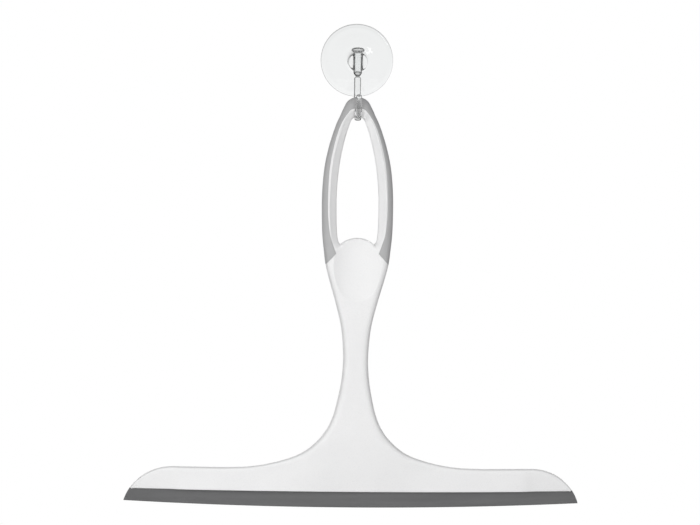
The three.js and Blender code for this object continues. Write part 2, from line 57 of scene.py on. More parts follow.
# Loop: [outer x, outer z, inner x, inner z, grip width] from the top middle down the right leg.
LOOP_POINTS = [
    (0, -20, 0, -30.7, 6.2),
    (5.1, -22, 1.8, -31.1, 5),
    (7.9, -26.6, 3.2, -32.2, 3.4),
    (9.6, -30.4, 4, -33.7, 2.5),
    (11.3, -34, 4.5, -35.2, 2.3),
    (13.1, -38.9, 5.5, -38, 2.4),
    (15.7, -47.5, 7.8, -46.4, 2.6),
    (17.9, -58.2, 9.8, -57, 2.8),
    (19, -71, 11.1, -70.6, 3),
    (19.1, -84, 11.2, -84, 3.15),
    (18.7, -94.5, 10.75, -94, 4),
    (17.9, -102, 8.9, -98.9, 5.45),
    (16.9, -109.7, 8, -105, 7.2),
    (15.3, -116.2, 7, -111, 7.4),
]
# How many of the loop's points belong to the body's outer outline and to its opening.
LOOP_OUTER_COUNT = 13
LOOP_INNER_COUNT = 11
OPENING_FOOT = (10.05, -97.5)
LOOP_HALF_DEPTH_TOP = 3.9
HALF_DEPTH = 4.4
# The reach is how far in from an edge its rounding ends.
EDGE_REACH = 4.0
EDGE_POWER = 2.5
LOOP_TOP_BLEND = (-28.0, -48.0)
# The loop's legs are rounded outside, slope inside, and meet in a soft crest.
LEG_REACH = 5.5
LEG_SLOPE_REACH = 4.0
LEG_EDGE_HALF_DEPTH = 0.6
LEG_EDGE_ROUND = 0.5
LEG_BLEND_Z = (-106.0, -92.0)
LEG_CREST_SOFTNESS = 0.25

# The round lobe at the foot of the finger loop's opening.
LOBE_RADIUS = 13.7
LOBE_CENTRE_Z = -109.15
LOBE_CORNER = (9.1, -98.91)
LOBE_EDGE_REACH = 1.3
LOBE_SIDE_BLEND = 2.5
LOBE_BLEND_Z = (-112.0, -103.0)
LOBE_ABOVE_Z = -94.9

# Right side of the body, from below the grip down the neck and out along the head's top.
SIDE_POINTS = [
    (15.35, -116.1), (11.6, -129), (8.35, -142), (7.1, -152), (6.72, -161.6), (7.45, -172), (9.05, -181.3),
    (11.5, -191.3), (14.2, -197.9), (18.7, -204.45), (25.8, -210.95), (31.8, -214.25), (43.7, -218.1),
    (56, -220.3), (70, -221.05),
]
HEAD_TOP_Z = -221.05
HEAD_TOP_STRAIGHT_X = (80, 92)
MOUTH_Z = -233.6
END_CENTRE_X = 97.2
END_RADIUS = 28.5
# The head thins towards the top of its wings and is thickest along the mouth.
WING_TOP_HALF_DEPTH = 2.4
MOUTH_HALF_DEPTH = 3.9
WING_BLEND = (12.0, 46.0)
WING_BLEND_Z = (-188.0, -204.0)
WING_EDGE_REACH = 1.9
END_ZONE_X = 91.5
END_ZONE_DROP = 1.4
END_ZONE_BLEND = 9.0
END_ZONE_EDGE_BLEND = 1.5
MOUTH_EDGE_ROUND = 0.45
MOUTH_EDGE_DROP = 0.6 * MOUTH_EDGE_ROUND

# The thumb dish in the shoulder.
DISH_MIDDLE_Z = -111.0
DISH_HALF_WIDTH = 12.6
DISH_REACH_DOWN = 18.6
DISH_REACH_UP = 21.0
DISH_DEPTH = 2.3
DISH_CENTRE_AHEAD = 2.5
DISH_RIM_SOFTNESS = 0.12

# The fine ridge on the core, this far in from the grip's boundary.
RIDGE_IN = 0.85
RIDGE_HEIGHT = 0.22
RIDGE_HALF_WIDTH = 0.55
RIDGE_FOOT_BLEND_Z = (-104.0, -99.0)
RIDGE_TOP_BLEND_Z = (-30.0, -40.0)

# The grip covers a tongue of the core with this much skin outside it.
GRIP_SKIN = 1.2
TONGUE_HALF_DEPTH = 2.2
GRIP_GAP = 0.06
GRIP_ROOT_ROUND = 0.18
GRIP_ROOT_ROUND_REACH = 0.35
GRIP_END_CORNER = (11.2, -103.6)
GRIP_END_OUTER = (16.9, -109.7)
# The block that cuts each grip end off, measured along the slanted end and down from it.
GRIP_CUTTER_START = -3
GRIP_CUTTER_END = 21
GRIP_CUTTER_DOWN = 24
GRIP_CUTTER_HALF_DEPTH = 30
# How far a cutting shape stands out past what it cuts.
CUTTER_MARGIN = 1

# The strip before its ends are cut round, with a bead, a straight web and a lip that thins to its edge.
BLADE_HALF_LENGTH = 125.5
BLADE_STATIONS = 91
BEAD_END_INSET = 1.3
BLADE_EDGE_BEVEL = 0.22
BLADE_CUTTER_Y = (-50, 10)
BEAD_RADIUS = 1.6
BEAD_Z = -229.1
WEB_HALF_DEPTH = 1.0
LIP_HALF_DEPTH = 0.6
EDGE_Z = -242.9
EDGE_RISE = 2.1
CHANNEL_GAP = 0.2
CHANNEL_BELOW_MOUTH = 2
BLADE_SHOULDER_REACH = 0.6

# The pin's place, and its hole in the knob.
PIN_Y = -10.5
PIN_HOLE_RADIUS = 2.7
PIN_HOLE_HALF_LENGTH = 9
PIN_RADIUS = 2.4
PIN_HEAD_RADIUS = 3.55
PIN_HEAD_HALF_HEIGHT = 1.6
PIN_HEAD_Z = 5.3
PIN_TAIL_POINTS = [(2.4, -5.9), (2.2, -7.2), (1.7, -8.3), (1.1, -8.9), (1.1, -9.2), (1.75, -9.5)]
PIN_FOOT_Z = -11
# The knob hangs lower at its front than where it leaves the cup, which happens between these two places.
KNOB_SAG = 1.2
SAG_BETWEEN_Y = (-4.7, -7.0)
KNOB_RADIUS = 5.2
KNOB_FRONT_Y = -15.5
KNOB_EDGE_ROUND = 0.9
KNOB_SIDE_Y = (-14.0, -6.6)
# The cup's section as [radius, y] points: the dome from the knob outwards, the rim, and the hollow back.
DOME_POINTS = [
    (KNOB_RADIUS, -6.2), (KNOB_RADIUS + 0.3, -5.6), (KNOB_RADIUS + 1.1, -5.2), (9, -4.7), (12.5, -3.7),
    (16, -2.35), (18.4, -1.35), (18.95, -1.25),
]
RIM_POINTS = [(18.95, -1.25), (19.4, -0.98), (19.68, -0.5), (19.7, -0.3), (19.5, 0)]
HOLLOW_POINTS = [(17.8, 0), (14, -1.4), (9, -2.7), (4, -3.3), (0, -3.4)]
# The mould gate's small stub on the cup.
GATE_X = -16.2
GATE_Z = -1.1
GATE_RADIUS = 0.6
GATE_FRONT_Y = -2.8
GATE_CROWN = 0.12
GATE_LENGTH = 1
# The hook's rod: its stem, the bend under the loop, and the front arm with its ball tip.
STEM_RADIUS = 1.85
STEM_Z = (-10, -12.5, -15, -18, -21)
BEND_RADIUS = 8.0
BEND_CENTRE_Z = -23.95
ARM_LEAN = math.radians(25)
ARM_LENGTH = 7.0
ROD_HALF_THICKNESS = 1.0
NECK_RADIUS = 1.1
TIP_RADIUS = 1.5
TIP_BEYOND_ARM = 0.7 * TIP_RADIUS

# Edges that turn by more than this many degrees are drawn sharp.
SHARP_ANGLE = 38
CLEAR_SHARP_ANGLE = 35

# How closely the body's mesh points lie, along its rims and in rings beside them.
RIM_SPACING = 0.8
OPENING_SPACING = 0.5
MOUTH_SPANS = 160
GRID_STEP = 1.6
RING_EDGE_GAP = 0.4
# [distance from the rim, least distance between points]
RIM_RINGS = [
    (0.12, 0.1), (0.32, 0.2), (0.6, 0.25), (0.95, 0.3), (1.4, 0.35), (1.9, 0.4), (2.5, 0.45), (3.1, 0.5),
    (3.7, 0.55),
]
MOUTH_RING_OFFSETS = (0.1, 0.25, 0.45, 0.9, 1.5)
DISH_RING_SIZES = (0.95, 0.975, 0.99, 1.0, 1.01, 1.03)
RIDGE_RING_OFFSETS = (-0.9, -0.6, -0.3, 0, 0.3, 0.6, 0.9)
RIDGE_RINGS_TOP_Z = -26.0
MOUTH_RING_SPACING = 0.09
DISH_RING_SPACING = 0.1
RIDGE_RING_SPACING = 0.2
DISH_RING_COUNT = 170
# A point of a rim ring this much nearer to another stretch of the edge is left out.
RIM_RING_SHARE = 0.985
GRID_HALF_WIDTH = 120
# Rows this share of a step apart make the grid's triangles even.
GRID_ROW_SHARE = 0.866

# ----------------------------------------------------------------------------------------------------
# Small helpers
# ----------------------------------------------------------------------------------------------------


def smoothstep(value, start, end):
    share = np.clip((value - start) / (end - start), 0, 1)
    return share * share * (3 - 2 * share)


def lerp(start, end, share):
    return start + (end - start) * share


def soft_minimum(first, second, softness):
    """The smaller of the two, with a rounded change from one to the other."""
    mixed = np.clip((second - first) / softness / 2 + 0.5, 0, 1)
    return lerp(second, first, mixed) - softness * mixed * (1 - mixed)


def mid_depth(x, z):
    """Y of the squeegee's middle surface."""
    return BOW_APEX_Y + (z - BOW_APEX_Z) ** 2 / (2 * BOW_RADIUS) + x ** 2 / (2 * SWEEP_RADIUS)


def smooth_curve(points, per_span):
    """Centripetal Catmull-Rom curve through the points."""
    points = np.array(points, float)
    first = 2 * points[0] - points[1]
    last = 2 * points[-1] - points[-2]
    padded = np.vstack([first, points, last])
    rows = []
    for i in range(len(points) - 1):
        p0, p1, p2, p3 = padded[i:i + 4]
        t0 = 0.0
        t1 = t0 + max(np.linalg.norm((p1 - p0)[:2]), 1e-6) ** 0.5
        t2 = t1 + max(np.linalg.norm((p2 - p1)[:2]), 1e-6) ** 0.5
        t3 = t2 + max(np.linalg.norm((p3 - p2)[:2]), 1e-6) ** 0.5
        for t in np.linspace(t1, t2, per_span, endpoint=False):
            a1 = (t1 - t) / (t1 - t0) * p0 + (t - t0) / (t1 - t0) * p1
            a2 = (t2 - t) / (t2 - t1) * p1 + (t - t1) / (t2 - t1) * p2
            a3 = (t3 - t) / (t3 - t2) * p2 + (t - t2) / (t3 - t2) * p3
            b1 = (t2 - t) / (t2 - t0) * a1 + (t - t0) / (t2 - t0) * a2
            b2 = (t3 - t) / (t3 - t1) * a2 + (t - t1) / (t3 - t1) * a3
            rows.append((t2 - t) / (t2 - t1) * b1 + (t - t1) / (t2 - t1) * b2)
    rows.append(points[-1])
    return np.array(rows)


def resample(line, spacing):
    """The same open line with evenly spaced points, both ends kept."""
    line = np.array(line, float)
    lengths = np.concatenate([[0], np.cumsum(np.linalg.norm(np.diff(line, axis=0), axis=1))])
    count = max(2, int(round(lengths[-1] / spacing)) + 1)
    wanted = np.linspace(0, lengths[-1], count)
    return np.stack([np.interp(wanted, lengths, line[:, i]) for i in range(line.shape[1])], axis=1)


def mesh_object(name, vertices_mm, faces):
    mesh = bpy.data.meshes.new(name)
    mesh.from_pydata([tuple(np.array(v) * MM) for v in vertices_mm], [], [tuple(f) for f in faces])
    mesh.validate()
    mesh.update()
    obj = bpy.data.objects.new(name, mesh)
    bpy.context.collection.objects.link(obj)
    return obj


def smooth(obj, sharp_angle):
    obj.data.shade_smooth()
    obj.data.set_sharp_from_angle(angle=math.radians(sharp_angle))


def apply_modifier(obj, modifier):
    with bpy.context.temp_override(object=obj, active_object=obj, selected_objects=[obj]):
        bpy.ops.object.modifier_apply(modifier=modifier.name)


def boolean(obj, cutter, operation):
    """Joins, cuts or keeps the common part of two closed meshes, and removes the second."""
    modifier = obj.modifiers.new("boolean", "BOOLEAN")
    modifier.operation = operation
    modifier.solver = "EXACT"
    modifier.object = cutter
    apply_modifier(obj, modifier)
    bpy.data.objects.remove(cutter)


def signed_volume(vertices, faces):
    vertices = np.array(vertices)
    total = 0.0
    for face in faces:
        for i in range(1, len(face) - 1):
            total += np.dot(vertices[face[0]], np.cross(vertices[face[i]], vertices[face[i + 1]]))
    return total / 6


def loft_object(name, rings):
    """Closed skin over rings that all have the same number of points."""
    rings = [np.array(ring, float) for ring in rings]
    count = len(rings[0])
    vertices = np.vstack(rings)
    faces = []
    for row in range(len(rings) - 1):
        for column in range(count):
            a = row * count + column
            b = row * count + (column + 1) % count
            faces.append((a, b, b + count, a + count))
    last = (len(rings) - 1) * count
    faces.append(tuple(reversed(range(count))))
    faces.append(tuple(range(last, last + count)))
    if signed_volume(vertices, faces) < 0:
        faces = [tuple(reversed(face)) for face in faces]
    return mesh_object(name, vertices, faces)


def lathe_object(name, profile, segments, to_point):
    """Solid of revolution of [radius, height] points that start and end on the axis."""
    profile = [tuple(p) for p in profile]
    vertices = [to_point(0, 0, profile[0][1])]
    for radius, height in profile[1:-1]:
        for i in range(segments):
            turn = 2 * math.pi * i / segments
            vertices.append(to_point(radius * math.cos(turn), radius * math.sin(turn), height))
    vertices.append(to_point(0, 0, profile[-1][1]))
    rows = len(profile) - 2
    faces = []
    for i in range(segments):
        j = (i + 1) % segments
        faces.append((0, 1 + j, 1 + i))
        for row in range(rows - 1):
            start = 1 + row * segments
            faces.append((start + i, start + j, start + segments + j, start + segments + i))
        start = 1 + (rows - 1) * segments
        faces.append((start + i, start + j, len(vertices) - 1))
    if signed_volume(vertices, faces) < 0:
        faces = [tuple(reversed(face)) for face in faces]
    return mesh_object(name, vertices, faces)


# ----------------------------------------------------------------------------------------------------
# Squeegee body: a flat outline lifted into a rounded, bowed shell
# ----------------------------------------------------------------------------------------------------


def mirrored(line):
    """A line that starts on the middle line, carried on to the left of it."""
    left = [(-p[0],) + tuple(p[1:]) for p in line[:0:-1]]
    return left + [tuple(p) for p in line]


def right_outline():
    """Right half of the outer outline, from the loop's top to the mouth's corner."""
    loop = [(p[0], p[1]) for p in LOOP_POINTS[:LOOP_OUTER_COUNT]]
    curve = smooth_curve(mirrored(loop + SIDE_POINTS), 16)
    curve = curve[len(curve) // 2:]
    straight = [(x, HEAD_TOP_Z) for x in HEAD_TOP_STRAIGHT_X]
    end = []
    last = math.acos(1 - (HEAD_TOP_Z - MOUTH_Z) / END_RADIUS)
    for angle in np.linspace(0, last, 60):
        end.append((END_CENTRE_X + END_RADIUS * math.sin(angle),
                    HEAD_TOP_Z - END_RADIUS * (1 - math.cos(angle))))
    return resample(np.vstack([curve, straight, end]), RIM_SPACING)


def opening_outline():
    """Closed outline of the finger loop's opening, from the top round by the right."""
    inner = [(p[2], p[3]) for p in LOOP_POINTS[:LOOP_INNER_COUNT]]
    curve = smooth_curve(mirrored(inner + [OPENING_FOOT, LOBE_CORNER]), 16)
    curve = resample(curve[len(curve) // 2:], OPENING_SPACING)
    start = math.asin(LOBE_CORNER[0] / LOBE_RADIUS)
    arc = []
    for angle in np.linspace(start, 0, 21)[1:]:
        arc.append((LOBE_RADIUS * math.sin(angle), LOBE_CENTRE_Z + LOBE_RADIUS * math.cos(angle)))
    right = np.vstack([curve, arc])
    left = right[-2:0:-1] * np.array([-1, 1])
    return np.vstack([right, left])


def segment_distance(points, starts, ends):
    """Distance from each point to the nearest of the segments."""
    best = np.full(len(points), 1e9)
    along = ends - starts
    length2 = np.maximum((along ** 2).sum(1), 1e-12)
    chunk_size = 2000
    for begin in range(0, len(points), chunk_size):
        chunk = points[begin:begin + chunk_size]
        offset = chunk[:, None, :] - starts[None]
        share = np.clip((offset * along[None]).sum(2) / length2[None], 0, 1)
        gap = offset - share[..., None] * along[None]
        best[begin:begin + chunk_size] = np.sqrt((gap ** 2).sum(2).min(1))
    return best


def inside(points, loops):
    """True where a point is inside an odd number of the closed loops."""
    result = np.zeros(len(points), bool)
    for loop in loops:
        following = np.roll(loop, -1, axis=0)
        for a, b in zip(loop, following):
            if a[1] == b[1]:
                continue
            crossing = (points[:, 1] >= min(a[1], b[1])) & (points[:, 1] < max(a[1], b[1]))
            if crossing.any():
                x = a[0] + (points[:, 1] - a[1]) / (b[1] - a[1]) * (b[0] - a[0])
                result ^= crossing & (points[:, 0] < x)
    return result


def inward_normals(loop, loops):
    """Normals along one of the loops, turned towards the material between them."""
    forward = np.roll(loop, -1, axis=0) - np.roll(loop, 1, axis=0)
    normals = np.stack([forward[:, 1], -forward[:, 0]], axis=1)
    normals /= np.linalg.norm(normals, axis=1)[:, None]
    test = inside(loop + normals * 0.05, loops)
    return np.where(test[:, None], normals, -normals)


class BodyOutline:
    """Front outline of the body: its outer edge, its mouth and the finger loop's opening."""

    def __init__(self):
        right = right_outline()
        self.outer_edge = np.vstack([right[:0:-1] * np.array([-1, 1]), right])
        mouth_x = np.linspace(right[-1][0], -right[-1][0], MOUTH_SPANS + 1)[1:-1]
        self.mouth = np.stack([mouth_x, np.full(MOUTH_SPANS - 1, MOUTH_Z)], axis=1)
        self.outer = np.vstack([self.outer_edge, self.mouth])
        self.opening = opening_outline()
        self.loops = [self.outer, self.opening]
        self.outer_normals = inward_normals(self.outer, self.loops)[:len(self.outer_edge)]
        self.opening_normals = inward_normals(self.opening, self.loops)

    def from_outer(self, points):
        return segment_distance(points, self.outer_edge[:-1], self.outer_edge[1:])

    def from_opening(self, points):
        return segment_distance(points, self.opening, np.roll(self.opening, -1, axis=0))

    def from_edge(self, points):
        """Distance to the nearer of the outer edge and the opening."""
        return np.minimum(self.from_outer(points), self.from_opening(points))

    def clear(self, points):
        """The points that lie on the body and well away from its edges."""
        return points[inside(points, self.loops) & (self.from_edge(points) > RING_EDGE_GAP)]


def wing_share(x, z):
    """0 on the neck and the head's middle, 1 out on its wings."""
    return smoothstep(np.abs(x), *WING_BLEND) * smoothstep(-z, -WING_BLEND_Z[0], -WING_BLEND_Z[1])


def head_rise(z):
    """0 at the mouth, 1 at the head's top."""
    return np.clip((z - MOUTH_Z) / (HEAD_TOP_Z - MOUTH_Z), 0, 1)


def grip_width_at(z):
    heights = np.array([p[1] for p in LOOP_POINTS])[::-1]
    widths = np.array([p[4] for p in LOOP_POINTS])[::-1]
    return np.interp(z, heights, widths)


def leg_half_depth(from_outer, from_opening, half_depth):
    """Half depth of a leg: rounded at its outer edge, sloping to a thinner edge round the opening."""
    round_share = np.sqrt(1 - np.clip(1 - from_outer / LEG_REACH, 0, 1) ** 2)
    slope = lerp(LEG_EDGE_HALF_DEPTH / half_depth, 1, np.clip(from_opening / LEG_SLOPE_REACH, 0, 1))
    rim = np.sqrt(1 - np.clip(1 - from_opening / LEG_EDGE_ROUND, 0, 1) ** 2)
    return soft_minimum(half_depth * round_share, half_depth * slope * rim, LEG_CREST_SOFTNESS)


def plain_half_depth(x, z, edge, from_outer, from_opening):
    """Half depth of the body, the same at its front and back."""
    wing = wing_share(x, z)
    rise = head_rise(z)
    loop_top = smoothstep(-z, -LOOP_TOP_BLEND[0], -LOOP_TOP_BLEND[1])
    middle = np.where(z < HEAD_TOP_Z, lerp(MOUTH_HALF_DEPTH, HALF_DEPTH, rise),
                      lerp(LOOP_HALF_DEPTH_TOP, HALF_DEPTH, loop_top))
    full = lerp(middle, lerp(MOUTH_HALF_DEPTH, WING_TOP_HALF_DEPTH, rise), wing)

    lobe = smoothstep(LOBE_CORNER[0] + 1 - np.abs(x), 0, LOBE_SIDE_BLEND)
    lobe = lobe * smoothstep(z, *LOBE_BLEND_Z) * (z < LOBE_ABOVE_Z)
    reach = lerp(lerp(EDGE_REACH, WING_EDGE_REACH, wing), LOBE_EDGE_REACH, lobe)
    share = np.clip(1 - edge / reach, 0, 1)
    depth = full * (1 - share ** EDGE_POWER) ** (1 / EDGE_POWER)

    on_leg = smoothstep(z, *LEG_BLEND_Z) * (1 - lobe)
    depth = lerp(depth, np.maximum(leg_half_depth(from_outer, from_opening, full), 0), on_leg)
    mouth_share = np.clip(1 - (z - MOUTH_Z) / MOUTH_EDGE_ROUND, 0, 1)
    return depth - MOUTH_EDGE_DROP * (1 - np.sqrt(1 - mouth_share ** 2)) * np.clip(edge, 0, 1)


def end_zone_drop(x, z, edge):
    """How far the face lies back along the mouth towards the ends, behind a soft crease."""
    end_zone = smoothstep(np.abs(x), END_ZONE_X, END_ZONE_X + END_ZONE_BLEND)
    off_edge = np.clip(edge / END_ZONE_EDGE_BLEND, 0, 1)
    return wing_share(x, z) * END_ZONE_DROP * end_zone * (1 - head_rise(z)) * off_edge


def ridge_height(z, from_outer):
    """Height of the fine ridge on the core beside the grip."""
    ridge_at = grip_width_at(z) + RIDGE_IN
    ridge = np.exp(-((from_outer - ridge_at) / RIDGE_HALF_WIDTH) ** 2)
    ridge *= smoothstep(z, *RIDGE_FOOT_BLEND_Z) * smoothstep(-z, -RIDGE_TOP_BLEND_Z[0], -RIDGE_TOP_BLEND_Z[1])
    return RIDGE_HEIGHT * ridge


def dish_half_depth(x, z):
    """Front of the thumb dish, an ellipsoid's inside with its centre ahead of the face."""
    bowl_depth = DISH_CENTRE_AHEAD + DISH_DEPTH
    spread = 1 / math.sqrt(1 - (DISH_CENTRE_AHEAD / bowl_depth) ** 2)
    upright = (z - DISH_MIDDLE_Z) / np.where(z > DISH_MIDDLE_Z, DISH_REACH_UP, DISH_REACH_DOWN)
    radial = ((x / DISH_HALF_WIDTH) ** 2 + upright ** 2) / spread ** 2
    return HALF_DEPTH + DISH_CENTRE_AHEAD - bowl_depth * np.sqrt(np.clip(1 - radial, 0, 1))


def half_depths(x, z, edge, from_outer, from_opening):
    """Front and back half depth of the body at points, from their distances to its edges."""
    depth = plain_half_depth(x, z, edge, from_outer, from_opening)
    ridge = ridge_height(z, from_outer)
    front = depth - end_zone_drop(x, z, edge) + ridge
    front = soft_minimum(front, dish_half_depth(x, z), DISH_RIM_SOFTNESS)
    on_rim = edge < 1e-6
    return np.where(on_rim, 0, front), np.where(on_rim, 0, depth + ridge)


def thinned(groups):
    """Points of all the groups in order, without those too near one already taken."""
    cell = 0.5
    taken = {}
    kept = []
    for points, gap in groups:
        reach = int(math.ceil(gap / cell))
        for point in points:
            column = int(math.floor(point[0] / cell))
            row = int(math.floor(point[1] / cell))
            crowded = False
            for i in range(-reach, reach + 1):
                for j in range(-reach, reach + 1):
                    for other in taken.get((column + i, row + j), ()):
                        if (other[0] - point[0]) ** 2 + (other[1] - point[1]) ** 2 < gap * gap:
                            crowded = True
            if not crowded:
                taken.setdefault((column, row), []).append((point[0], point[1]))
                kept.append(point)
    return kept


def rim_rings(outline):
    """Lines of points that follow the outer edge and the opening."""
    rims = np.vstack([outline.outer_edge, outline.opening])
    normals = np.vstack([outline.outer_normals, outline.opening_normals])
    rings = []
    for offset, gap in RIM_RINGS:
        ring = rims + normals * offset
        fine = outline.from_edge(ring) > RIM_RING_SHARE * offset
        fine &= inside(ring, outline.loops) & (ring[:, 1] > MOUTH_Z + 0.1)
        rings.append((ring[fine], gap))
    return rings


def mouth_rings(outline):
    rings = []
    for offset in MOUTH_RING_OFFSETS:
        line = outline.mouth + np.array([0, offset])
        rings.append((line[outline.from_edge(line) > RING_EDGE_GAP], MOUTH_RING_SPACING))
    return rings


def dish_rings(outline):
    turns = np.linspace(0, 2 * math.pi, DISH_RING_COUNT, endpoint=False)
    reach = np.where(np.cos(turns) > 0, DISH_REACH_UP, DISH_REACH_DOWN)
    rings = []
    for size in DISH_RING_SIZES:
        ring = np.stack([DISH_HALF_WIDTH * size * np.sin(turns),
                         DISH_MIDDLE_Z + reach * size * np.cos(turns)], axis=1)
        rings.append((outline.clear(ring), DISH_RING_SPACING))
    return rings


def ridge_rings(outline):
    heights = outline.outer_edge[:, 1]
    on_leg = (heights > RIDGE_FOOT_BLEND_Z[0]) & (heights < RIDGE_RINGS_TOP_Z)
    leg = outline.outer_edge[on_leg]
    normals = outline.outer_normals[on_leg]
    rings = []
    for aside in RIDGE_RING_OFFSETS:
        offset = grip_width_at(leg[:, 1]) + RIDGE_IN + aside
        rings.append((outline.clear(leg + normals * offset[:, None]), RIDGE_RING_SPACING))
    return rings


def inner_grid(outline):
    """Triangular grid over the rest of the body."""
    grid = []
    rows = np.arange(MOUTH_Z + GRID_STEP / 2, LOOP_POINTS[0][1], GRID_STEP * GRID_ROW_SHARE)
    for i, z in enumerate(rows):
        shift = GRID_STEP / 2 if i % 2 else 0.0
        for x in np.arange(-GRID_HALF_WIDTH, GRID_HALF_WIDTH + 0.1, GRID_STEP):
            grid.append((x + shift, z))
    grid = np.array(grid)
    grid = grid[inside(grid, outline.loops)]
    return [(grid[outline.from_edge(grid) > GRID_STEP / 2], GRID_STEP / 2)]


def closed_edges(first, count):
    return [(first + i, first + (i + 1) % count) for i in range(count)]


def body_triangles(outline):
    """Points over the body's front outline, and the triangles between them."""
    rim_points = [tuple(p) for p in np.vstack([outline.outer, outline.opening])]
    groups = [(rim_points, 0.0)]
    for sampled in (rim_rings, mouth_rings, dish_rings, ridge_rings, inner_grid):
        groups += sampled(outline)
    free = [tuple(p) for p in thinned(groups)[len(rim_points):]]
    edges = closed_edges(0, len(outline.outer)) + closed_edges(len(outline.outer), len(outline.opening))
    result = delaunay_2d_cdt([Vector(p) for p in rim_points + free], edges, [], 0, 1e-7)
    points = np.array([tuple(v) for v in result[0]])
    triangles = np.array([tuple(f) for f in result[2]])
    return points, triangles[inside(points[triangles].mean(1), outline.loops)]


def body_skin(points, triangles, edge, front, back):
    """Front and back skins that share the rims, closed across the mouth by a strip."""
    middle = mid_depth(points[:, 0], points[:, 1])
    front_vertices = np.stack([points[:, 0], middle - front, points[:, 1]], axis=1)
    back_vertices = np.stack([points[:, 0], middle + back, points[:, 1]], axis=1)
    off_rim = np.flatnonzero(edge > 0)
    vertices = np.vstack([front_vertices, back_vertices[off_rim]])
    back_index = np.arange(len(points))
    back_index[off_rim] = len(points) + np.arange(len(off_rim))

    faces = []
    for a, b, c in triangles:
        if np.cross(points[b] - points[a], points[c] - points[a]) < 0:
            b, c = c, b
        faces.append((a, b, c))
        faces.append((back_index[a], back_index[c], back_index[b]))
    along_mouth = sorted(np.flatnonzero(points[:, 1] - MOUTH_Z < 1e-4), key=lambda i: points[i][0])
    for a, b in zip(along_mouth[:-1], along_mouth[1:]):
        ring = []
        for i in (b, a, back_index[a], back_index[b]):
            if i not in ring:
                ring.append(i)
        faces.append(tuple(ring))

    used = sorted({i for face in faces for i in face})
    lookup = {old: new for new, old in enumerate(used)}
    return vertices[used], [tuple(lookup[i] for i in face) for face in faces]


def make_body():
    outline = BodyOutline()
    points, triangles = body_triangles(outline)
    from_outer = outline.from_outer(points)
    from_opening = outline.from_opening(points)
    edge = np.minimum(from_outer, from_opening)
    edge[edge < 1e-4] = 0
    front, back = half_depths(points[:, 0], points[:, 1], edge, from_outer, from_opening)
    body = mesh_object("body_moulding", *body_skin(points, triangles, edge, front, back))
    boolean(body, sweep_object("channel_cutter", channel_section), "DIFFERENCE")
    boolean(body, make_grip_space(), "DIFFERENCE")
    smooth(body, SHARP_ANGLE)
    return body


# ----------------------------------------------------------------------------------------------------
# Grip
# ----------------------------------------------------------------------------------------------------


def loop_stations():
    """Sections of the loop, one after the other from its left foot to its right foot."""
    outer = smooth_curve(mirrored([(p[0], p[1]) for p in LOOP_POINTS]), 12)
    inner = smooth_curve(mirrored([(p[2], p[3]) for p in LOOP_POINTS]), 12)
    widths = smooth_curve(mirrored([(slot, p[4]) for slot, p in enumerate(LOOP_POINTS)]), 12)[:, 1]
    spans = len(LOOP_POINTS) - 1
    stations = []
    for i in range(len(outer)):
        slot = abs(i / (len(outer) - 1) - 0.5) * 2 * spans
        across = outer[i] - inner[i]
        length = np.linalg.norm(across)
        top_share = smoothstep(slot, 2, 6)
        stations.append({
            "middle": (outer[i] + inner[i]) / 2,
            "outward": across / length,
            "half_width": length / 2,
            "half_depth": lerp(LOOP_HALF_DEPTH_TOP, HALF_DEPTH, top_share),
            "grip_width": widths[i],
        })
    return stations


def loop_loft(name, section_of):
    """Skin along the loop over sections of [across, behind] points."""
    rings = []
    for station in loop_stations():
        ring = []
        for across, behind in section_of(station):
            x, z = station["middle"] + station["outward"] * across
            ring.append((x, mid_depth(x, z) + behind, z))
        rings.append(ring)
    return loft_object(name, rings)


def edge_depth(distance, half_depth):
    """Half depth of the loop's top at a distance from its outer edge."""
    share = max(0.0, 1 - distance / EDGE_REACH)
    return half_depth * (1 - share ** EDGE_POWER) ** (1 / EDGE_POWER)


def grip_section(station):
    """The grip's rounded skin with the slot for the tongue."""
    half_width = station["half_width"]
    half_depth = station["half_depth"]
    width = station["grip_width"]
    root = half_width - width
    tip = half_width - GRIP_SKIN
    points = []
    steps = 14
    for i in range(-steps, steps + 1):
        distance = width * (1 - math.cos(math.pi / 2 * i / steps))
        z = station["middle"][1] + station["outward"][1] * (half_width - distance)
        on_leg = smoothstep(z, *LEG_BLEND_Z)
        leg_depth = leg_half_depth(distance, 2 * half_width - distance, half_depth)
        depth = lerp(edge_depth(distance, half_depth), leg_depth, on_leg)
        near_root = np.clip(1 - (width - distance) / GRIP_ROOT_ROUND_REACH, 0, 1)
        depth -= GRIP_ROOT_ROUND * (1 - math.sqrt(1 - near_root ** 2))
        points.append((half_width - distance, math.copysign(max(depth, 0), i) if i else 0.0))
    points += [(root, TONGUE_HALF_DEPTH), (tip, TONGUE_HALF_DEPTH), (tip, -TONGUE_HALF_DEPTH),
               (root, -TONGUE_HALF_DEPTH)]
    return points


def grip_space_section(station):
    """What the grip takes away from the core: everything outside its root, but for the tongue."""
    out = station["half_width"] + CUTTER_MARGIN
    deep = station["half_depth"] + CUTTER_MARGIN
    root = station["half_width"] - station["grip_width"] - GRIP_GAP
    tip = station["half_width"] - GRIP_SKIN - GRIP_GAP
    tongue = TONGUE_HALF_DEPTH - GRIP_GAP
    return [(root, -deep), (out, -deep), (out, deep), (root, deep),
            (root, tongue), (tip, tongue), (tip, -tongue), (root, -tongue)]


